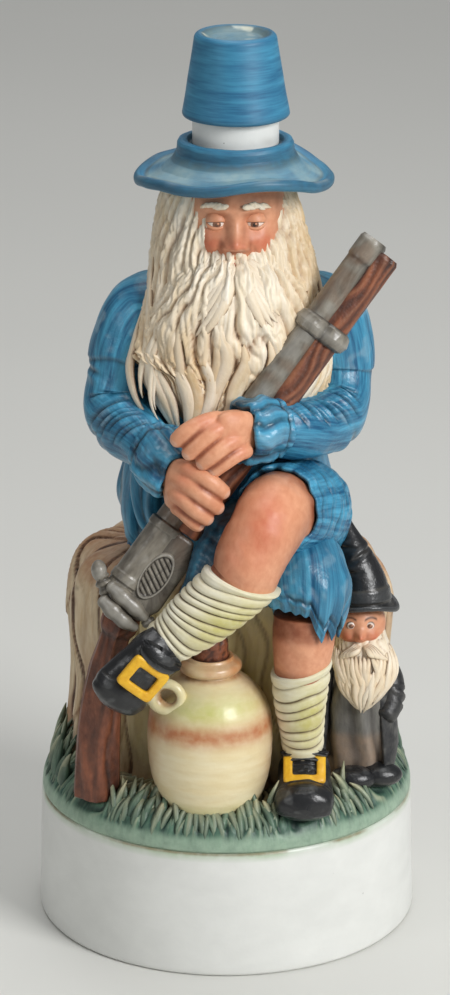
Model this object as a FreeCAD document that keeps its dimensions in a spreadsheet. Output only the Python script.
"""Figural ceramic decanter: a bearded old woodsman in a tall hat, seated on a tree stump over a white drum.

Row frame: millimetres, +Z up, origin at the centre of the drum's foot, the figure facing -Y.
The drum, stump, coat and head are hollow and make one vessel, which pours through the bore in the hat.
The crown of the hat is the stopper: it lifts straight up with its cork.
Every piece is trimmed by the pieces that carry it, so the castings meet face to face where they are luted.
"""

import FreeCAD, Part
import math
import os
import re

import Sketcher

# Driving dimensions in millimetres. Each one is a named cell of the sheet.
DIMENSIONS = {
    # vessel walls and the one overrun that serves every through cut
    "wall": 3.4,
    "overrun": 2.0,
    # white drum
    "base_radius": 53.7,
    "base_top_radius": 52.9,
    "base_height": 36.8,
    "foot_recess": 2.5,
    "foot_width": 7.0,
    "base_edge": 0.9,
    # grassy mound on the drum
    "mound_lip": 1.2,
    "mound_rise": 9.5,
    "mound_bulge": 2.5,
    "tuft_radius": 2.4,
    "tuft_tip": 0.3,
    "tuft_height": 11.0,
    "tuft_inset": 3.6,
    "tuft_sink": 3.0,
    # tree stump: its sides and back stand in from the drum's edge
    "stump_inset": 6.9,
    "stump_back_inset": 10.9,
    "stump_front": 26.0,
    "stump_height": 71.5,
    "bark_depth": 1.5,
    "bark_rib": 1.2,
    # seated figure: its axis, the reach of its elbows and knees, and seat to shoulder
    "figure_x": 2.4,
    "figure_breadth": 40.0,
    "figure_depth": 50.0,
    "figure_height": 80.0,
    "head_rise": 33.0,
    "nose_length": 3.4,
    "sleeve_radius": 10.0,
    "cuff_radius": 8.4,
    "palm_radius": 6.0,
    "finger_radius": 2.2,
    "thigh_radius": 16.0,
    "knee_radius": 10.5,
    "stocking_radius": 8.5,
    "tail_radius": 10.0,
    # shoes and buckles
    "shoe_length": 25.0,
    "shoe_width": 7.6,
    "shoe_height": 7.2,
    "buckle_width": 12.4,
    "buckle_height": 9.6,
    "buckle_bar": 2.2,
    "buckle_depth": 6.4,
    # pouring neck, hat and stopper
    "bore_radius": 8.5,
    "neck_radius": 11.75,
    "neck_height": 12.0,
    "neck_show": 6.2,
    "neck_edge": 0.8,
    "collar_radius": 15.8,
    "collar_height": 3.0,
    "brim_radius": 27.8,
    "brim_drop": 10.6,
    "brim_thickness": 2.8,
    "brim_wave": 2.2,
    "crown_radius": 15.0,
    "crown_top_radius": 11.6,
    "crown_height": 22.9,
    "crown_overlap": 2.2,
    "crown_dish": 1.3,
    "crown_ledge": 3.2,
    "crown_edge": 1.6,
    "stopper_clearance": 0.3,
    "stem_radius": 5.6,
    "stem_length": 13.5,
    "cork_length": 11.0,
    "cork_clearance": 0.05,
    "cork_taper": 0.5,
    # long gun
    "barrel_radius": 3.9,
    "breech_radius": 4.2,
    "barrel_bore": 1.9,
    "barrel_bore_depth": 14.0,
    "barrel_length": 114.0,
    "forestock_width": 3.5,
    "forestock_depth": 9.4,
    "forestock_setback": 1.5,
    "band_width": 5.2,
    "band_wall": 1.2,
    "lock_length": 27.0,
    "lock_width": 4.0,
    "lock_front": 2.0,
    "lock_back": 12.0,
    "lock_edge": 1.4,
    "lock_plate_length": 7.6,
    "lock_plate_width": 4.0,
    "lock_plate_thickness": 1.3,
    "hammer_radius": 3.0,
    "butt_radius": 6.2,
    "guard_radius": 3.4,
    "guard_wire": 1.1,
    # jug at the figure's feet
    "jug_x": -4.6,
    "jug_y": -33.5,
    "jug_radius": 17.1,
    "jug_height": 40.0,
    "jug_foot_radius": 11.5,
    "jug_belly_arc": 34.0,
    "jug_shoulder_arc": 17.6,
    "jug_neck_radius": 7.2,
    "jug_neck_height": 6.4,
    "jug_lip_radius": 8.4,
    "jug_cork_radius": 5.2,
    "jug_cork_height": 5.8,
    "jug_handle_radius": 5.2,
    "jug_handle_wire": 1.9,
    # gnome beside the stump
    "gnome_inset": 15.9,
    "gnome_sink": 8.3,
    "gnome_y": -13.5,
    "gnome_height": 82.0,
    "gnome_radius": 10.0,
    "gnome_shoe_length": 7.4,
}

# Sizes and heights that several pieces share, worked out from the stack of pieces.
STUMP_BREADTH = "(base_top_radius - stump_inset)"
STUMP_BACK = "(base_top_radius - stump_back_inset)"
STUMP_DEPTH = f"(({STUMP_BACK} + stump_front) / 2)"
STUMP_SETBACK = f"(({STUMP_BACK} - stump_front) / 2)"
SEAT = "base_height + stump_height"
SHOULDER = f"{SEAT} + figure_height"
HEAD_TOP = f"{SHOULDER} + head_rise"
NECK_TOP = f"{HEAD_TOP} + neck_height"
CROWN_FOOT = f"{NECK_TOP} - crown_overlap"
COLLAR_TOP = f"{CROWN_FOOT} - neck_show"

TOLERANCE = 1e-6
X_AXIS = FreeCAD.Vector(1, 0, 0)
Y_AXIS = FreeCAD.Vector(0, 1, 0)
Z_AXIS = FreeCAD.Vector(0, 0, 1)

doc = FreeCAD.newDocument("figural_decanter")
sheet = doc.addObject("Spreadsheet::Sheet", "Dims")
for row, (alias, value) in enumerate(DIMENSIONS.items(), start=1):
    sheet.set(f"A{row}", alias)
    sheet.set(f"B{row}", str(value))
    sheet.setAlias(f"B{row}", alias)
doc.recompute()

blanks = {}
pieces = {}


# Sizes and places

def tied(expression):
    """The expression with each dimension's name pointing at its cell."""
    return re.sub(r"[a-z][a-z_]*", lambda name: "Dims." + name.group(), expression)


def measure(expression):
    """What an expression of dimension names is worth, in millimetres."""
    return float(sheet.evalExpression(expression))


def bind(thing, expressions):
    """Ties properties of a document object to the sheet."""
    for name, expression in expressions.items():
        thing.setExpression(name, tied(expression))


def point(place):
    """The vector of a place, which is three expressions."""
    return FreeCAD.Vector(*(measure(expression) for expression in place))


def put(thing, place, rotation=FreeCAD.Rotation()):
    """Sets an object at a place, tied to the sheet, with a fixed rotation."""
    thing.Placement = FreeCAD.Placement(point(place), rotation)
    bind(thing, {f"Placement.Base.{axis}": expression for axis, expression in zip("xyz", place)})
    return thing


def on_figure(x_share, y_share, z_share):
    """A place on the figure: shares of its breadth, its depth, and the height above or below the seat."""
    rise = "figure_height" if z_share >= 0 else "stump_height"
    return (
        f"figure_x + figure_breadth * ({x_share})",
        f"figure_depth * ({y_share})",
        f"{SEAT} + {rise} * ({z_share})",
    )


def way(shares):
    """A direction from its shares along the three axes."""
    return FreeCAD.Vector(*shares)


def facing(along, across):
    """The rotation that turns local Z along one direction and local X as near as it can to another."""
    return FreeCAD.Rotation(across, FreeCAD.Vector(), along, "ZXY")


# Solids

def hoop(name, place, radii, rotation):
    """A circle of one radius, or an ellipse of two along local X and Y, as one station of a loft."""
    if len(radii) == 1:
        ring = doc.addObject("Part::Circle", name)
        bind(ring, {"Radius": radii[0]})
        return put(ring, place, rotation)
    ring = doc.addObject("Part::Ellipse", name)
    if measure(radii[0]) >= measure(radii[1]):
        bind(ring, {"MajorRadius": radii[0], "MinorRadius": radii[1]})
        return put(ring, place, rotation)
    bind(ring, {"MajorRadius": radii[1], "MinorRadius": radii[0]})
    ring.Angle1 = ring.Angle2 = 270
    return put(ring, place, rotation.multiply(FreeCAD.Rotation(Z_AXIS, 90)))


def loft(name, hoops):
    """A smooth closed solid through the hoops."""
    solid = doc.addObject("Part::Loft", name)
    solid.Sections = hoops
    solid.Solid = True
    solid.Ruled = False
    return solid


def headings(middles):
    """For each place of a path its direction there, and a steady direction across it."""
    turns = []
    across = X_AXIS
    for i in range(len(middles)):
        along = middles[min(i + 1, len(middles) - 1)] - middles[max(i - 1, 0)]
        along.normalize()
        if i == 0 and abs(across.dot(along)) > abs(Z_AXIS.dot(along)):
            across = Z_AXIS
        across = across - along * across.dot(along)
        turns.append(facing(along, across))
    return turns


def tube(name, stations):
    """Circles of the stations' radii, square to the path through their places."""
    turns = headings([point(place) for place, radius in stations])
    hoops = [hoop(f"{name}_hoop", place, [radius], turn) for (place, radius), turn in zip(stations, turns)]
    return loft(name, hoops)


def limb(name, shares, girth):
    """A tube on the figure: each row of shares is a place on the figure and a share of the limb's radius."""
    return tube(name, [(on_figure(x, y, z), f"{girth} * {radius}") for x, y, z, radius in shares])


def limbs(stretches):
    """Tubes end to end along one path. Each stretch has a name, a girth and its shares."""
    path = [row[:3] for i, (name, girth, shares) in enumerate(stretches) for row in shares[min(i, 1):]]
    turns = headings([point(on_figure(*place)) for place in path])
    solids = {}
    first = 0
    for name, girth, shares in stretches:
        hoops = [
            hoop(f"{name}_hoop", on_figure(x, y, z), [f"{girth} * {radius}"], turns[first + i])
            for i, (x, y, z, radius) in enumerate(shares)
        ]
        solids[name] = loft(name, hoops)
        first += len(shares) - 1
    return solids


def bust(name, shares, inset="0"):
    """Level ellipses on the figure: each row is a place and the shares of its two radii."""
    hoops = []
    for x, y, z, breadth, depth in shares:
        radii = [f"figure_breadth * {breadth} - {inset}", f"figure_depth * {depth} - {inset}"]
        hoops.append(hoop(f"{name}_hoop", on_figure(x, y, z), radii, facing(Z_AXIS, X_AXIS)))
    return loft(name, hoops)


def arc_between(start, end, radius, left):
    """The arc of a radius from start to end, bulging to the left or the right of the way between them."""
    chord = end - start
    half = chord.Length / 2
    side = FreeCAD.Vector(-chord.y, chord.x, 0).normalize() * (1 if left else -1)
    middle = start + chord / 2
    centre = middle - side * math.sqrt(max(radius * radius - half * half, 0))
    crest = centre + side * radius
    return Part.Arc(start, crest, end)


def draw(body, name, outline, plane):
    """A closed sketch. Each corner is two expressions, and the radius and side of an arc that ends there."""
    sketch = body.newObject("Sketcher::SketchObject", name)
    origin_plane = [f for f in body.Origin.OriginFeatures if f.Role == plane][0]
    sketch.AttachmentSupport = [(origin_plane, "")]
    sketch.MapMode = "FlatFace"
    corners = [FreeCAD.Vector(measure(c[0]), measure(c[1]), 0) for c in outline]
    ends = []
    for i, start in enumerate(corners):
        arriving = outline[(i + 1) % len(outline)]
        end = corners[(i + 1) % len(corners)]
        if len(arriving) == 2:
            edge = sketch.addGeometry(Part.LineSegment(start, end), False)
            ends.append((edge, 1, 2))
            continue
        arc = arc_between(start, end, measure(arriving[2]), arriving[3] == "left")
        edge = sketch.addGeometry(arc, False)
        drawn = sketch.Geometry[edge]
        forward = drawn.StartPoint.distanceToPoint(start) < drawn.EndPoint.distanceToPoint(start)
        ends.append((edge, 1, 2) if forward else (edge, 2, 1))
        rule = sketch.addConstraint(Sketcher.Constraint("Radius", edge, measure(arriving[2])))
        bind(sketch, {f"Constraints[{rule}]": arriving[2]})
    for i, (edge, first, last) in enumerate(ends):
        follower, follower_first, _ = ends[(i + 1) % len(ends)]
        sketch.addConstraint(Sketcher.Constraint("Coincident", edge, last, follower, follower_first))
    for (edge, first, last), corner in zip(ends, outline):
        for kind, axis, expression in (("DistanceX", -2, corner[0]), ("DistanceY", -1, corner[1])):
            reach = measure(expression)
            if reach == 0:
                sketch.addConstraint(Sketcher.Constraint("PointOnObject", edge, first, axis))
            elif reach > 0:
                rule = sketch.addConstraint(Sketcher.Constraint(kind, -1, 1, edge, first, reach))
                bind(sketch, {f"Constraints[{rule}]": expression})
            else:
                rule = sketch.addConstraint(Sketcher.Constraint(kind, edge, first, -1, 1, -reach))
                bind(sketch, {f"Constraints[{rule}]": f"-({expression})"})
    return sketch


def turned(name, outline, place=("0", "0", "0")):
    """A body turned about the vertical through its place, from an outline of radii and heights."""
    body = doc.addObject("PartDesign::Body", name)
    sketch = draw(body, f"{name}_outline", outline, "XZ_Plane")
    turning = body.newObject("PartDesign::Revolution", f"{name}_turning")
    turning.Profile = sketch
    turning.ReferenceAxis = (sketch, ["V_Axis"])
    turning.Angle = 360
    return put(body, place)


def padded(name, outline, length, place, rotation):
    """A body padded from an outline along its own Z, at a place and turned."""
    body = doc.addObject("PartDesign::Body", name)
    sketch = draw(body, f"{name}_outline", outline, "XY_Plane")
    pad = body.newObject("PartDesign::Pad", f"{name}_pad")
    pad.Profile = sketch
    bind(pad, {"Length": length})
    return put(body, place, rotation)


def round_edges(body, radius, wanted):
    """Fillets the edges of a body's last feature that the test picks, by a dimension."""
    doc.recompute()
    base = body.Tip
    names = [f"Edge{i}" for i, edge in enumerate(base.Shape.Edges, start=1) if wanted(edge)]
    fillet = body.newObject("PartDesign::Fillet", f"{body.Name}_fillet")
    fillet.Base = (base, names)
    bind(fillet, {"Radius": radius})
    return body


def ring_at(height):
    """Picks the circular edges at a height."""
    def picks(edge):
        return isinstance(edge.Curve, Part.Circle) and abs(edge.Curve.Center.z - height) < TOLERANCE

    return picks


def ellipse_bar(name, place, radii, length, along=Z_AXIS, across=X_AXIS):
    """A straight bar of elliptical section, upright unless it is given a direction."""
    outline = hoop(f"{name}_outline", place, radii, facing(along, across))
    bar = doc.addObject("Part::Extrusion", name)
    bar.Base = outline
    bar.Dir = along
    bar.Solid = True
    bind(bar, {"LengthFwd": length})
    return bar


def ellipsoid(name, place, size, shares):
    """A ball stretched to shares of a size: its height, breadth and depth."""
    ball = doc.addObject("Part::Ellipsoid", name)
    bind(ball, {f"Radius{i}": f"{size} * {share}" for i, share in enumerate(shares, start=1)})
    return put(ball, place)


def cut(name, base, tool):
    """The base less the tool."""
    result = doc.addObject("Part::Cut", name)
    result.Base = base
    result.Tool = tool
    result.Refine = False
    return result


def fused(name, parts):
    """Several solids as one."""
    result = doc.addObject("Part::MultiFuse", name)
    result.Shapes = parts
    result.Refine = False
    return result


def piece(label, blank, carriers=(), hollows=()):
    """A finished piece: its blank, trimmed by the blanks of the pieces that carry it, and then hollowed."""
    blanks[label] = blank
    result = blank
    for tool in [blanks[carrier] for carrier in carriers] + list(hollows):
        result = cut(f"{label}_trim", result, tool)
    blank.Label = f"{label}_blank"
    result.Label = label
    pieces[label] = result


# Drum, stump and mound

STUMP_LEVEL_SHARES = [
    (0.0, 1.08),
    (0.13, 1.02),
    (0.5, 0.97),
    (0.73, 1.0),
    (0.87, 0.96),
    (0.96, 0.86),
    (1.0, 0.72),
]
STUMP_LOBE_SHARES = [(5, 0.5, 0.4), (8, 0.5, 2.1)]
STUMP_RIBS = 12
STUMP_RIB_TURN_SHARE = 0.45
STUMP_POINTS = 72


def stump_outline(level_share, girth_share):
    """One level of the trunk: an ellipse whose bark swells in lobes and in ribs that slant as they climb."""
    bark = measure("bark_depth")
    rib = measure("bark_rib")
    slant = 2 * math.pi * STUMP_RIB_TURN_SHARE * level_share
    places = []
    for i in range(STUMP_POINTS):
        turn = 2 * math.pi * i / STUMP_POINTS
        lobes = sum(share * math.cos(count * turn + phase) for count, share, phase in STUMP_LOBE_SHARES)
        swell = bark * lobes + rib * math.cos(STUMP_RIBS * turn + slant)
        across = measure(STUMP_BREADTH) * girth_share + swell
        deep = measure(STUMP_DEPTH) * girth_share + swell
        places.append(FreeCAD.Vector(
            across * math.cos(turn),
            measure(STUMP_SETBACK) + deep * math.sin(turn),
            measure("base_height") + measure("stump_height") * level_share,
        ))
    curve = Part.BSplineCurve()
    curve.interpolate(places, PeriodicFlag=True)
    return Part.Wire(curve.toShape())


trunk = doc.addObject("Part::Feature", "trunk")
trunk.Shape = Part.makeLoft([stump_outline(*level) for level in STUMP_LEVEL_SHARES], True)

CAVITY_LEVEL_SHARES = [(-0.04, 1.0), (0.5, 0.97), (0.8, 0.95), (0.94, 0.82)]
DECK_HOLE_SHARE = 0.97
SEAT_HOLE_SHARES = (0.5, 0.3)
SEAT_HOLE_PLACE_SHARE = 0.1
DECK_BORE_SHARE = 0.5
DECK_BORE = f"{STUMP_DEPTH} * {DECK_BORE_SHARE}"
MOUND_CREST_SHARE = 0.9
MOUND_CREST = f"{STUMP_BREADTH} * {MOUND_CREST_SHARE}"
TUFT_COUNT = 26
TUFT_ARC_SHARES = (0.025, 0.555)
TUFT_SHARES = [(1.0, 0.16), (0.72, -0.22), (0.88, 0.08)]
TUFT_LEAN_SHARE = 0.1


def inside_bark(girth_share):
    """The two radii of the stump's hollow where the trunk has a share of its girth."""
    return [f"{size} * {girth_share} - bark_depth - bark_rib - wall" for size in (STUMP_BREADTH, STUMP_DEPTH)]


trunk_hollow = loft("trunk_hollow", [
    hoop(
        "trunk_hollow_hoop", ("0", STUMP_SETBACK, f"base_height + stump_height * ({level})"),
        inside_bark(girth), facing(Z_AXIS, X_AXIS),
    )
    for level, girth in CAVITY_LEVEL_SHARES
])
deck_hole = ellipse_bar(
    "deck_hole", ("0", STUMP_SETBACK, "base_height - wall - overrun"),
    inside_bark(DECK_HOLE_SHARE), "wall + overrun * 2",
)
seat_drop = f"stump_height * {1 - CAVITY_LEVEL_SHARES[-1][0]:.3f} + overrun"
seat_hole = ellipse_bar(
    "seat_hole",
    ("figure_x", f"figure_depth * {SEAT_HOLE_PLACE_SHARE}", f"{SEAT} - ({seat_drop})"),
    [f"figure_breadth * {SEAT_HOLE_SHARES[0]}", f"figure_depth * {SEAT_HOLE_SHARES[1]}"],
    f"{seat_drop} + overrun",
)

drum = turned("drum", [
    ("base_radius - foot_width", "0"),
    ("base_radius", "0"),
    ("base_top_radius", "base_height"),
    (DECK_BORE, "base_height"),
    (DECK_BORE, "base_height - wall"),
    ("base_top_radius - wall", "base_height - wall"),
    ("base_radius - wall", "foot_recess + wall"),
    ("0", "foot_recess + wall"),
    ("0", "foot_recess"),
    ("base_radius - foot_width", "foot_recess"),
])
round_edges(drum, "base_edge", ring_at(0))

mound = turned("mound", [
    ("0", "base_height"),
    ("base_top_radius", "base_height"),
    ("base_top_radius", "base_height + mound_lip"),
    (MOUND_CREST, "base_height + mound_rise", f"base_top_radius - {MOUND_CREST} + mound_bulge", "right"),
    ("0", "base_height + mound_rise"),
])


def tuft(turn, height_share, lean_share):
    """A pointed tuft of grass on the mound's slope, leaning a little inwards and to one side."""
    out = way((math.cos(turn), math.sin(turn), 0))
    along = Z_AXIS - out * TUFT_LEAN_SHARE + Z_AXIS.cross(out) * lean_share
    cone = doc.addObject("Part::Cone", "tuft")
    bind(cone, {"Radius1": "tuft_radius", "Radius2": "tuft_tip", "Height": f"tuft_height * {height_share}"})
    reach = "(base_top_radius - tuft_inset)"
    level = "base_height + mound_rise / 2 - tuft_sink"
    foot = (f"{reach} * ({out.x:.5f})", f"{reach} * ({out.y:.5f})", level)
    return put(cone, foot, facing(along, out))


first_tuft, last_tuft = TUFT_ARC_SHARES
tufts = []
for i in range(TUFT_COUNT):
    tuft_turn = 2 * math.pi * (first_tuft + (last_tuft - first_tuft) * i / (TUFT_COUNT - 1))
    tufts.append(tuft(tuft_turn, *TUFT_SHARES[i % len(TUFT_SHARES)]))
grassy_mound = fused("grassy_mound", [mound] + tufts)

piece("tree_stump", trunk, hollows=[trunk_hollow, seat_hole])
piece("base_drum", drum, hollows=[deck_hole])
piece("grass_mound", grassy_mound, ["tree_stump"])


# Coat, head and hat

TORSO_SHARES = [
    (0.00, 0.12, 0.00, 0.76, 0.56),
    (0.00, 0.11, 0.17, 0.70, 0.49),
    (0.00, 0.09, 0.46, 0.65, 0.43),
    (0.00, 0.08, 0.75, 0.68, 0.37),
    (0.00, 0.06, 0.90, 0.57, 0.30),
    (0.00, 0.04, 1.00, 0.34, 0.23),
]
HEAD_SHARES = [
    (0.00, -0.01, 1.00, 0.26, 0.24),
    (0.00, -0.05, 1.10, 0.31, 0.28),
    (0.00, -0.05, 1.22, 0.34, 0.30),
    (0.00, -0.04, 1.33, 0.32, 0.28),
]
HEAD_CROWN_SHARES = (0.30, 0.26)
NOSE_SHARES = (0.00, -0.34, 1.19)
NOSE_SIZE_SHARES = (0.85, 0.62, 1.0)
HAIR_SHARES = [
    (0.00, 0.08, 1.35, 0.42, 0.25),
    (0.00, 0.09, 1.23, 0.49, 0.29),
    (0.02, 0.10, 1.08, 0.57, 0.31),
    (0.01, 0.11, 0.93, 0.65, 0.32),
    (0.02, 0.13, 0.77, 0.62, 0.34),
    (0.02, 0.14, 0.65, 0.50, 0.32),
]
BEARD_SHARES = [
    (0.02, -0.24, 1.18, 0.25, 0.17),
    (0.02, -0.23, 1.10, 0.42, 0.24),
    (0.00, -0.20, 0.97, 0.54, 0.27),
    (-0.01, -0.19, 0.83, 0.62, 0.28),
    (-0.01, -0.20, 0.70, 0.68, 0.28),
    (-0.06, -0.27, 0.58, 0.50, 0.23),
    (-0.18, -0.37, 0.50, 0.28, 0.17),
]
BORE_FOOT_SHARE = 0.5
BRIM_POINTS = 24
BRIM_WAVE_SHARES = [(2, 1.0, 0.0), (3, 0.35, 1.1)]
BRIM_EDGE_SHARE = 0.95
BRIM_NOSE_SHARE = 0.5

torso = bust("torso", TORSO_SHARES)
torso_hollow = bust("torso_hollow", TORSO_SHARES[:-1], inset="wall")
pour_bore = doc.addObject("Part::Cylinder", "pour_bore")
bind(pour_bore, {"Radius": "bore_radius", "Height": "figure_height + head_rise"})
put(pour_bore, ("figure_x", "0", f"{SEAT} + figure_height * {BORE_FOOT_SHARE}"))

skull = bust("skull", HEAD_SHARES)
skull_radii = [f"figure_breadth * {HEAD_CROWN_SHARES[0]}", f"figure_depth * {HEAD_CROWN_SHARES[1]}"]
skull_top = hoop("skull_top", ("figure_x", "0", HEAD_TOP), skull_radii, facing(Z_AXIS, X_AXIS))
skull.Sections = skull.Sections + [skull_top]
nose = ellipsoid("nose", on_figure(*NOSE_SHARES), "nose_length", NOSE_SIZE_SHARES)
face = fused("face", [skull, nose])

neck = turned("neck", [
    ("bore_radius", HEAD_TOP),
    ("neck_radius", HEAD_TOP),
    ("neck_radius", NECK_TOP),
    ("bore_radius", NECK_TOP),
], ("figure_x", "0", "0"))
round_edges(neck, "neck_edge", ring_at(measure(NECK_TOP)))


def brim_ring(radius, height, wave_share):
    """A closed curve round the hat at a radius, rising and falling by a share of the brim's wave."""
    wave = measure("brim_wave") * wave_share
    places = []
    for i in range(BRIM_POINTS):
        turn = 2 * math.pi * i / BRIM_POINTS
        swell = -sum(share * math.cos(count * turn + phase) for count, share, phase in BRIM_WAVE_SHARES)
        places.append(FreeCAD.Vector(
            measure("figure_x") + measure(radius) * math.cos(turn),
            measure(radius) * math.sin(turn),
            measure(height) + wave * swell,
        ))
    curve = Part.BSplineCurve()
    curve.interpolate(places, PeriodicFlag=True)
    return Part.Wire(curve.toShape())


RIM = f"{COLLAR_TOP} - brim_drop"
brim_rings = [
    brim_ring("bore_radius", COLLAR_TOP, 0),
    brim_ring("collar_radius", COLLAR_TOP, 0),
    brim_ring("collar_radius", f"{COLLAR_TOP} - collar_height", 0),
    brim_ring(f"brim_radius * {BRIM_EDGE_SHARE}", f"{RIM} + brim_thickness", 1),
    brim_ring("brim_radius", f"{RIM} + brim_thickness * {BRIM_NOSE_SHARE}", 1),
    brim_ring(f"brim_radius * {BRIM_EDGE_SHARE}", RIM, 1),
    brim_ring("bore_radius", f"{RIM} + brim_thickness", 0),
]
brim_skin = Part.makeLoft(brim_rings + brim_rings[:1], False, True)
brim_skin.sewShape()
brim = doc.addObject("Part::Feature", "brim")
brim.Shape = Part.makeSolid(Part.Shell(brim_skin.Faces))

piece("coat_torso", torso, hollows=[torso_hollow, pour_bore])
piece("head", face, ["coat_torso"], hollows=[pour_bore])
piece("pour_neck", neck)
piece("hat_brim", brim, ["head", "pour_neck"])

crown = turned("crown", [
    ("0", f"{NECK_TOP} - stem_length"),
    ("stem_radius", f"{NECK_TOP} - stem_length"),
    ("stem_radius", NECK_TOP),
    ("neck_radius + stopper_clearance", NECK_TOP),
    ("neck_radius + stopper_clearance", CROWN_FOOT),
    ("crown_radius", CROWN_FOOT),
    ("crown_top_radius", f"{CROWN_FOOT} + crown_height"),
    ("crown_top_radius - crown_ledge", f"{CROWN_FOOT} + crown_height"),
    ("0", f"{CROWN_FOOT} + crown_height - crown_dish"),
], ("figure_x", "0", "0"))
cork = turned("cork", [
    ("stem_radius", f"{NECK_TOP} - stem_length"),
    ("bore_radius - cork_clearance - cork_taper", f"{NECK_TOP} - stem_length"),
    ("bore_radius - cork_clearance", f"{NECK_TOP} - stem_length + cork_length"),
    ("stem_radius", f"{NECK_TOP} - stem_length + cork_length"),
], ("figure_x", "0", "0"))
round_edges(crown, "crown_edge", ring_at(measure(f"{CROWN_FOOT} + crown_height")))
piece("hat_crown", crown)
piece("stopper_cork", cork)


# Long gun, in its own frame: Z up the barrel, Y towards the stock, X towards the viewer

BREECH_SHARES = (-0.735, -0.76, 0.04)
MUZZLE_SHARES = (0.915, -0.24, 1.1225)
STOCK_SIDE_SHARES = (0.8, 0, -0.6)
BAND_SHARE = 0.73
STOCK_ROUND_SHARE = 1.05
LOCK_REAR_SHARE = 0.3
LOCK_PLATE_SHARES = (0.5, 0.2)
BUTT_SHARES = [
    (-0.735, -0.74, -0.06, 0.85),
    (-0.82, -0.72, -0.19, 0.76),
    (-0.885, -0.68, -0.34, 0.85),
    (-0.935, -0.63, -0.58, 1.0),
    (-0.97, -0.59, -0.92, 1.12),
]
GUARD_SHARES = (0.45, 0.4)
HAMMER_SHARES = [(0.3, -1.9, 0.75), (-1.0, -1.7, 0.7), (-2.0, -1.2, 0.8), (-2.7, -0.7, 0.72)]

breech = on_figure(*BREECH_SHARES)
barrel_way = (point(on_figure(*MUZZLE_SHARES)) - point(breech)).normalize()
stock_side = way(STOCK_SIDE_SHARES)
stock_way = (stock_side - barrel_way * stock_side.dot(barrel_way)).normalize()
plate_way = stock_way.cross(barrel_way)
gun_turn = facing(barrel_way, plate_way)


def on_gun(x, y, z):
    """A place in the gun's frame, from three expressions."""
    return tuple(
        f"{start} + ({x}) * ({side:.5f}) + ({y}) * ({under:.5f}) + ({z}) * ({ahead:.5f})"
        for start, side, under, ahead in zip(breech, plate_way, stock_way, barrel_way)
    )


barrel = doc.addObject("Part::Cone", "barrel")
bind(barrel, {"Radius1": "breech_radius", "Radius2": "barrel_radius", "Height": "barrel_length"})
put(barrel, breech, gun_turn)
barrel_hollow = doc.addObject("Part::Cylinder", "barrel_hollow")
bind(barrel_hollow, {"Radius": "barrel_bore", "Height": "barrel_bore_depth + overrun"})
put(barrel_hollow, on_gun("0", "0", "barrel_length - barrel_bore_depth"), gun_turn)

STOCK_ROUND = f"forestock_width * {STOCK_ROUND_SHARE}"
forestock = padded("forestock", [
    ("-forestock_width", "0"),
    ("forestock_width", "0"),
    ("forestock_width", "forestock_depth - forestock_width"),
    ("-forestock_width", "forestock_depth - forestock_width", STOCK_ROUND, "right"),
], f"barrel_length - forestock_setback - lock_length * {1 - LOCK_REAR_SHARE}",
    on_gun("0", "0", f"lock_length * {1 - LOCK_REAR_SHARE}"), gun_turn)

BAND_HALF = "(barrel_radius + band_wall)"
BAND_ROUND = f"{BAND_HALF} * {STOCK_ROUND_SHARE}"
BAND_BACK = "forestock_depth + band_wall - barrel_radius"
band = padded("band", [
    (f"-{BAND_HALF}", "0"),
    (BAND_HALF, "0", BAND_ROUND, "right"),
    (BAND_HALF, BAND_BACK),
    (f"-{BAND_HALF}", BAND_BACK, BAND_ROUND, "right"),
], "band_width", on_gun("0", "0", f"barrel_length * {BAND_SHARE}"), gun_turn)

lock = padded("lock", [
    ("-lock_width", "-lock_front"),
    ("lock_width", "-lock_front"),
    ("lock_width", "lock_back"),
    ("-lock_width", "lock_back"),
], "lock_length", on_gun("0", "0", f"-lock_length * {LOCK_REAR_SHARE}"), gun_turn)
round_edges(lock, "lock_edge", lambda edge: True)

lock_plate = ellipse_bar(
    "lock_plate_bar",
    on_gun(
        "lock_width", f"(lock_back - lock_front) * {LOCK_PLATE_SHARES[0]}",
        f"lock_length * {LOCK_PLATE_SHARES[1]}",
    ),
    ["lock_plate_length", "lock_plate_width"], "lock_plate_thickness", plate_way, barrel_way,
)
hammer = tube("cock", [
    (on_gun("0", f"hammer_radius * ({under})", f"hammer_radius * ({ahead})"), f"hammer_radius * {girth}")
    for under, ahead, girth in HAMMER_SHARES
])
guard = doc.addObject("Part::Torus", "guard")
bind(guard, {"Radius1": "guard_radius", "Radius2": "guard_wire"})
put(
    guard,
    on_gun(
        "0", f"lock_back * {GUARD_SHARES[0]}",
        f"-lock_length * {LOCK_REAR_SHARE} - guard_radius * {GUARD_SHARES[1]}",
    ),
    facing(plate_way, barrel_way),
)
butt = limb("butt", BUTT_SHARES, "butt_radius")

piece("gun_barrel", barrel, hollows=[barrel_hollow])
piece("gun_forestock", forestock, ["gun_barrel"])
piece("gun_band", band, ["gun_barrel", "gun_forestock"])
piece("gun_lock", lock, ["gun_barrel", "gun_forestock"])
piece("gun_lock_plate", lock_plate)
piece("gun_hammer", hammer, ["gun_lock", "gun_barrel"])
piece("gun_trigger_guard", guard, ["gun_lock"])


# Jug at the figure's feet

JUG_FOOT_SHARE = 0.5
JUG_FOOT = f"base_height + mound_rise * {JUG_FOOT_SHARE}"
JUG_TOP = f"{JUG_FOOT} + jug_height"
JUG_BELLY_SHARE = 0.58
JUG_LIP_SHARES = (0.4, 0.8)
JUG_CORK_SHARE = 0.9
JUG_EAR_SHARE = 0.7
JUG_EAR_WAY_SHARES = (0.3, 1, 0)

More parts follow.
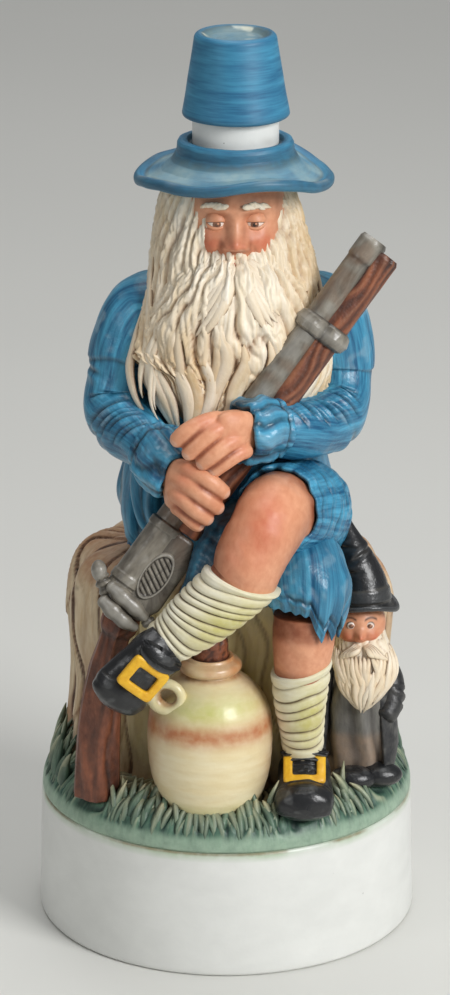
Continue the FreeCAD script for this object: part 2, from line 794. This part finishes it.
jug = turned("jug", [
    ("0", JUG_FOOT),
    ("jug_foot_radius", JUG_FOOT),
    ("jug_radius", f"{JUG_FOOT} + jug_height * {JUG_BELLY_SHARE}", "jug_belly_arc", "right"),
    ("jug_neck_radius", JUG_TOP, "jug_shoulder_arc", "right"),
    ("jug_lip_radius", f"{JUG_TOP} + jug_neck_height * {JUG_LIP_SHARES[0]}"),
    ("jug_lip_radius", f"{JUG_TOP} + jug_neck_height * {JUG_LIP_SHARES[1]}"),
    ("jug_neck_radius", f"{JUG_TOP} + jug_neck_height"),
    ("0", f"{JUG_TOP} + jug_neck_height"),
], ("jug_x", "jug_y", "0"))
jug_stopper = turned("jug_stopper", [
    ("0", f"{JUG_TOP} + jug_neck_height"),
    ("jug_cork_radius", f"{JUG_TOP} + jug_neck_height"),
    (f"jug_cork_radius * {JUG_CORK_SHARE}", f"{JUG_TOP} + jug_neck_height + jug_cork_height"),
    ("0", f"{JUG_TOP} + jug_neck_height + jug_cork_height"),
], ("jug_x", "jug_y", "0"))
jug_ear = doc.addObject("Part::Torus", "jug_ear")
bind(jug_ear, {"Radius1": "jug_handle_radius", "Radius2": "jug_handle_wire"})
put(
    jug_ear,
    (
        f"jug_x - jug_neck_radius - jug_handle_radius * {JUG_EAR_SHARE}",
        "jug_y - jug_handle_radius",
        f"{JUG_TOP} - jug_handle_radius",
    ),
    facing(way(JUG_EAR_WAY_SHARES), Z_AXIS),
)
piece("jug_body", jug, ["tree_stump", "grass_mound"])
piece("jug_cork", jug_stopper)
piece("jug_handle", jug_ear, ["jug_body"])
GUN_REST = ["tree_stump", "grass_mound", "jug_body", "jug_handle"]
piece("gun_butt", butt, ["gun_lock", "gun_trigger_guard"] + GUN_REST)


# Legs

SHOE_SHARES = [
    (0.00, 0.62, 0.72, 0.56),
    (0.14, 0.70, 0.92, 0.72),
    (0.38, 0.66, 0.95, 0.74),
    (0.65, 0.50, 1.00, 0.58),
    (0.88, 0.42, 0.90, 0.46),
    (1.00, 0.36, 0.48, 0.26),
]
LEFT_HEEL_SHARES = (-0.44, -0.89, -0.17)
LEFT_TOE_SHARES = (-0.64, -0.085, -0.764)
LEFT_SHOE_TOP_SHARES = (0.5, -0.75, 0.35)
RIGHT_HEEL_SHARES = (0.48, -0.50, -0.83)
RIGHT_TOE_SHARES = (-0.015, -0.976, -0.216)
RIGHT_SHOE_TOP_SHARES = (0, -0.3, 1)
BUCKLE_PLACE_SHARES = (0.32, 0.75)
BUCKLE_TILT_SHARE = 0.5
LEG_SHARES = {
    "left_breeches": [
        (0.39, 0.04, 0.11, 1.00),
        (0.42, -0.24, 0.165, 0.98),
        (0.37, -0.48, 0.22, 0.93),
        (0.315, -0.63, 0.265, 0.84),
    ],
    "left_knee": [
        (0.315, -0.63, 0.265, 1.05),
        (0.26, -0.766, 0.269, 1.05),
        (0.19, -0.878, 0.229, 0.98),
        (0.115, -0.932, 0.158, 0.92),
        (0.04, -0.94, 0.078, 0.84),
    ],
    "left_stocking": [
        (0.04, -0.94, 0.078, 1.08),
        (-0.11, -0.94, 0.003, 1.05),
        (-0.26, -0.94, -0.074, 0.96),
        (-0.40, -0.93, -0.137, 0.80),
        (-0.51, -0.92, -0.18, 0.70),
    ],
    "right_breeches": [
        (0.14, -0.16, 0.06, 0.94),
        (0.29, -0.40, 0.071, 0.84),
        (0.43, -0.59, 0.053, 0.72),
        (0.47, -0.70, -0.032, 0.68),
        (0.47, -0.73, -0.13, 0.62),
    ],
    "right_shin": [
        (0.47, -0.73, -0.13, 0.80),
        (0.46, -0.74, -0.228, 0.79),
        (0.45, -0.744, -0.319, 0.70),
    ],
    "right_stocking": [
        (0.45, -0.744, -0.319, 0.94),
        (0.45, -0.74, -0.452, 0.82),
        (0.46, -0.72, -0.585, 0.67),
        (0.47, -0.70, -0.717, 0.64),
    ],
}


def shoe_frame(toe_way, top_way):
    """Unit directions of a shoe: towards the toe, across it, and up through the laces."""
    ahead = FreeCAD.Vector(toe_way).normalize()
    top = (top_way - ahead * top_way.dot(ahead)).normalize()
    return ahead, ahead.cross(top), top


def on_shoe(heel, ahead, top, along_share, rise_share):
    """A place along a shoe from its heel, and above its sole."""
    return tuple(
        f"{start} + shoe_length * ({a * along_share:.5f}) + shoe_height * ({t * rise_share:.5f})"
        for start, a, t in zip(heel, ahead, top)
    )


def shoe(name, heel, toe_way, top_way):
    """A round-toed shoe: ellipses square to the foot from heel to toe."""
    ahead, side, top = shoe_frame(toe_way, top_way)
    hoops = [
        hoop(
            f"{name}_hoop", on_shoe(heel, ahead, top, along, rise),
            [f"shoe_width * {width}", f"shoe_height * {height}"], facing(ahead, side),
        )
        for along, rise, width, height in SHOE_SHARES
    ]
    return loft(name, hoops)


def rectangle(half_width, half_height):
    """The four corners of a rectangle about the origin."""
    return [
        (f"-({half_width})", f"-({half_height})"),
        (half_width, f"-({half_height})"),
        (half_width, half_height),
        (f"-({half_width})", half_height),
    ]


def buckle(name, heel, toe_way, top_way):
    """A square buckle frame over the instep, sunk into the shoe below it."""
    ahead, side, top = shoe_frame(toe_way, top_way)
    place = on_shoe(heel, ahead, top, *BUCKLE_PLACE_SHARES)
    tilt = facing(top + ahead * BUCKLE_TILT_SHARE, side)
    outline = rectangle("buckle_width / 2", "buckle_height / 2")
    frame = padded(f"{name}_frame", outline, "buckle_depth", place, tilt)
    opening = rectangle("buckle_width / 2 - buckle_bar", "buckle_height / 2 - buckle_bar")
    window = draw(frame, f"{name}_window", opening, "XY_Plane")
    pocket = frame.newObject("PartDesign::Pocket", f"{name}_pocket")
    pocket.Profile = window
    pocket.Type = "ThroughAll"
    pocket.Reversed = True
    return frame


left_shoe_way = (on_figure(*LEFT_HEEL_SHARES), way(LEFT_TOE_SHARES), way(LEFT_SHOE_TOP_SHARES))
right_shoe_way = (on_figure(*RIGHT_HEEL_SHARES), way(RIGHT_TOE_SHARES), way(RIGHT_SHOE_TOP_SHARES))

piece("left_shoe", shoe("left_last", *left_shoe_way), ["gun_butt", "gun_lock", "jug_body", "jug_handle"])
piece("right_shoe", shoe("right_last", *right_shoe_way), ["tree_stump", "grass_mound", "jug_body"])
piece("left_buckle", buckle("left_clasp", *left_shoe_way), ["left_shoe", "gun_butt", "gun_lock"])
piece("right_buckle", buckle("right_clasp", *right_shoe_way), ["right_shoe"])
legs = limbs([
    ("left_breeches", "thigh_radius", LEG_SHARES["left_breeches"]),
    ("left_knee", "knee_radius", LEG_SHARES["left_knee"]),
    ("left_stocking", "stocking_radius", LEG_SHARES["left_stocking"]),
])
legs.update(limbs([
    ("right_breeches", "thigh_radius", LEG_SHARES["right_breeches"]),
    ("right_shin", "knee_radius", LEG_SHARES["right_shin"]),
    ("right_stocking", "stocking_radius", LEG_SHARES["right_stocking"]),
]))
piece("left_breeches", legs["left_breeches"], ["coat_torso", "tree_stump"])
piece("left_knee", legs["left_knee"])
piece("left_stocking", legs["left_stocking"], ["left_shoe", "left_buckle"])
piece("right_breeches", legs["right_breeches"], ["coat_torso", "tree_stump", "left_breeches", "left_knee"])
piece("right_shin", legs["right_shin"])
piece("right_stocking", legs["right_stocking"], ["right_shoe", "right_buckle"])


# Hair, beard, sleeves and hands

HAIR_LINE_SHARE = -0.06
HALF_SPACE_SHARES = (2, 2, 2)
ARM_SHARES = {
    "right_sleeve": [
        (-0.41, 0.06, 0.88, 0.85),
        (-0.60, 0.06, 0.83, 1.10),
        (-0.71, 0.04, 0.73, 1.10),
        (-0.77, 0.00, 0.62, 1.03),
        (-0.80, -0.06, 0.52, 1.00),
        (-0.71, -0.24, 0.47, 0.95),
        (-0.56, -0.48, 0.45, 0.80),
    ],
    "right_cuff": [(-0.56, -0.48, 0.45, 1.00), (-0.47, -0.59, 0.43, 1.03), (-0.39, -0.66, 0.41, 1.06)],
    "right_palm": [
        (-0.39, -0.66, 0.41, 0.92),
        (-0.335, -0.71, 0.36, 1.03),
        (-0.31, -0.74, 0.31, 1.08),
        (-0.30, -0.75, 0.27, 0.95),
    ],
    "left_sleeve": [
        (0.42, 0.06, 0.88, 0.85),
        (0.58, 0.06, 0.83, 1.10),
        (0.67, 0.04, 0.73, 1.08),
        (0.70, 0.00, 0.61, 1.02),
        (0.68, -0.12, 0.52, 1.00),
        (0.52, -0.32, 0.50, 0.95),
        (0.27, -0.53, 0.53, 0.80),
    ],
    "left_cuff": [(0.27, -0.53, 0.53, 1.00), (0.17, -0.60, 0.545, 1.03), (0.07, -0.66, 0.55, 1.06)],
    "left_palm": [
        (0.07, -0.66, 0.55, 0.92),
        (-0.03, -0.71, 0.55, 1.05),
        (-0.14, -0.75, 0.54, 1.12),
        (-0.23, -0.77, 0.52, 0.95),
    ],
}
FINGER_SHARES = {
    "right": [
        [(-0.34, -0.81, 0.45, 0.95), (-0.19, -0.88, 0.42, 1.10), (-0.05, -0.86, 0.36, 0.85)],
        [(-0.38, -0.82, 0.41, 0.95), (-0.23, -0.89, 0.37, 1.10), (-0.09, -0.87, 0.31, 0.85)],
        [(-0.41, -0.82, 0.36, 0.95), (-0.27, -0.89, 0.32, 1.10), (-0.16, -0.87, 0.28, 0.85)],
        [(-0.39, -0.81, 0.31, 0.90), (-0.30, -0.87, 0.28, 1.00), (-0.22, -0.86, 0.26, 0.80)],
    ],
    "left": [
        [(-0.20, -0.81, 0.61, 0.95), (-0.32, -0.85, 0.58, 1.05), (-0.42, -0.84, 0.54, 0.85)],
        [(-0.11, -0.83, 0.59, 0.95), (-0.24, -0.87, 0.55, 1.10), (-0.34, -0.87, 0.50, 0.85)],
        [(-0.02, -0.83, 0.55, 0.95), (-0.15, -0.88, 0.51, 1.10), (-0.25, -0.87, 0.47, 0.85)],
        [(0.04, -0.82, 0.51, 0.90), (-0.08, -0.87, 0.48, 1.00), (-0.18, -0.87, 0.44, 0.80)],
    ],
}
COAT_TAIL_SHARES = [
    (-0.46, 0.06, 0.36, 0.90),
    (-0.57, -0.02, 0.24, 0.90),
    (-0.60, -0.10, 0.13, 0.78),
    (-0.61, -0.17, 0.02, 0.50),
]


def arm(side):
    """Sleeve, cuff and hand on one path. The hand is the palm with its four fingers, closed round the gun."""
    stretches = limbs([
        (f"{side}_sleeve", "sleeve_radius", ARM_SHARES[f"{side}_sleeve"]),
        (f"{side}_cuff", "cuff_radius", ARM_SHARES[f"{side}_cuff"]),
        (f"{side}_palm", "palm_radius", ARM_SHARES[f"{side}_palm"]),
    ])
    fingers = [limb(f"{side}_finger", row, "finger_radius") for row in FINGER_SHARES[side]]
    fist = fused(f"{side}_fist", [stretches[f"{side}_palm"]] + fingers)
    return stretches[f"{side}_sleeve"], stretches[f"{side}_cuff"], fist


def half_space(name, front):
    """A box over the whole figure in front of the hair line, or behind it."""
    box = doc.addObject("Part::Box", name)
    reach, depth, height = (
        f"{size} * {share}"
        for size, share in zip(("figure_breadth", "figure_depth", "figure_height"), HALF_SPACE_SHARES)
    )
    bind(box, {"Length": f"2 * {reach}", "Width": depth, "Height": height})
    hair_line = f"figure_depth * ({HAIR_LINE_SHARE})"
    return put(box, (f"-{reach}", f"{hair_line} - {depth}" if front else hair_line, SEAT))


LONG_GUN = ["gun_barrel", "gun_forestock", "gun_band"]
piece(
    "hair", bust("mane", HAIR_SHARES), ["coat_torso", "head", "hat_brim"],
    hollows=[half_space("face_side", True)],
)
piece(
    "beard", bust("whiskers", BEARD_SHARES), ["coat_torso", "head", "hat_brim"] + LONG_GUN,
    hollows=[half_space("back_side", False)],
)
right_sleeve, right_cuff, right_fist = arm("right")
left_sleeve, left_cuff, left_fist = arm("left")
piece("right_sleeve", right_sleeve, ["coat_torso", "hair", "beard"])
piece("left_sleeve", left_sleeve, ["coat_torso", "hair", "beard"] + LONG_GUN)
piece("right_cuff", right_cuff, ["coat_torso", "beard"] + LONG_GUN)
piece("left_cuff", left_cuff, ["coat_torso", "beard"] + LONG_GUN)
piece("left_hand", left_fist, ["beard", "left_cuff"] + LONG_GUN)
piece("right_hand", right_fist, ["beard", "right_cuff", "left_hand", "left_knee"] + LONG_GUN)
coat_flap = limb("tail", COAT_TAIL_SHARES, "tail_radius")
piece("coat_tail", coat_flap, ["coat_torso", "tree_stump", "right_sleeve"])


# Gnome beside the stump

GNOME_COAT_SHARES = [
    (0.0, 0.0, 0.0, 1.05),
    (0.0, 0.0, 0.2, 1.02),
    (0.0, -0.05, 0.40, 0.95),
    (-0.05, -0.1, 0.53, 0.7),
]
GNOME_HEAD_SHARES = (-0.05, -0.25, 0.62, 0.74)
GNOME_BEARD_SHARES = [
    (-0.05, -0.70, 0.60, 0.66, 0.42),
    (-0.05, -0.85, 0.52, 0.82, 0.50),
    (-0.10, -0.90, 0.42, 0.62, 0.45),
    (-0.15, -0.92, 0.335, 0.20, 0.18),
]
GNOME_HAT_SHARES = [
    (0.10, -0.12, 0.67, 0.84),
    (0.05, -0.05, 0.77, 0.68),
    (-0.15, 0.10, 0.87, 0.46),
    (-0.35, 0.30, 0.96, 0.20),
    (-0.42, 0.38, 1.00, 0.06),
]
GNOME_BRIM_SHARES = (0.10, -0.12, 0.68)
GNOME_BRIM_SIZE_SHARES = (0.18, 1.0, 0.95)
GNOME_SHOE_SHARES = [(-0.15, -1.15, 0.115), (0.55, -0.85, 0.115)]
GNOME_SHOE_SIZE_SHARES = (0.48, 1.0, 0.6)


def on_gnome(x_share, y_share, z_share):
    """A place on the gnome: shares of its girth across, and of its height above its footing."""
    return (
        f"base_top_radius - gnome_inset + gnome_radius * ({x_share})",
        f"gnome_y + gnome_radius * ({y_share})",
        f"base_height + mound_rise - gnome_sink + gnome_height * {z_share}",
    )


def gnome_tube(name, shares):
    """A tube on the gnome, with its radii as shares of the girth."""
    return tube(name, [(on_gnome(x, y, z), f"gnome_radius * {radius}") for x, y, z, radius in shares])


gnome_face = doc.addObject("Part::Sphere", "gnome_face")
bind(gnome_face, {"Radius": f"gnome_radius * {GNOME_HEAD_SHARES[3]}"})
put(gnome_face, on_gnome(*GNOME_HEAD_SHARES[:3]))
gnome_brim = ellipsoid("gnome_brim", on_gnome(*GNOME_BRIM_SHARES), "gnome_radius", GNOME_BRIM_SIZE_SHARES)
gnome_cap = fused("gnome_cap", [gnome_tube("gnome_cone", GNOME_HAT_SHARES), gnome_brim])
gnome_chin = loft("gnome_chin", [
    hoop(
        "gnome_chin_hoop", on_gnome(x, y, z),
        [f"gnome_radius * {breadth}", f"gnome_radius * {depth}"], facing(Z_AXIS, X_AXIS),
    )
    for x, y, z, breadth, depth in GNOME_BEARD_SHARES
])
gnome_feet = fused("gnome_feet", [
    ellipsoid("gnome_foot", on_gnome(*place), "gnome_shoe_length", GNOME_SHOE_SIZE_SHARES)
    for place in GNOME_SHOE_SHARES
])
GROUND = ["tree_stump", "grass_mound", "left_breeches", "left_sleeve"]

piece("gnome_coat", gnome_tube("gnome_gown", GNOME_COAT_SHARES), GROUND)
piece("gnome_head", gnome_face, GROUND + ["gnome_coat"])
piece("gnome_hat", gnome_cap, GROUND + ["gnome_coat", "gnome_head"])
piece("gnome_beard", gnome_chin, GROUND + ["gnome_coat", "gnome_head", "gnome_hat"])
piece("gnome_shoes", gnome_feet, GROUND + ["gnome_coat", "gnome_beard"])


# Check every object, then write one file per piece

doc.recompute()
for thing in doc.Objects:
    if "Invalid" in thing.State or "Error" in thing.State:
        raise RuntimeError(f"{thing.Label} failed: {thing.State}")
for label, thing in pieces.items():
    if thing.Shape.isNull() or not thing.Shape.isValid() or not thing.Shape.Solids:
        raise RuntimeError(f"{label} has no valid solid")
os.makedirs("parts", exist_ok=True)
for label, thing in pieces.items():
    thing.Shape.exportStep(f"parts/{label}.step")
    print(label, len(thing.Shape.Solids), round(thing.Shape.Volume))
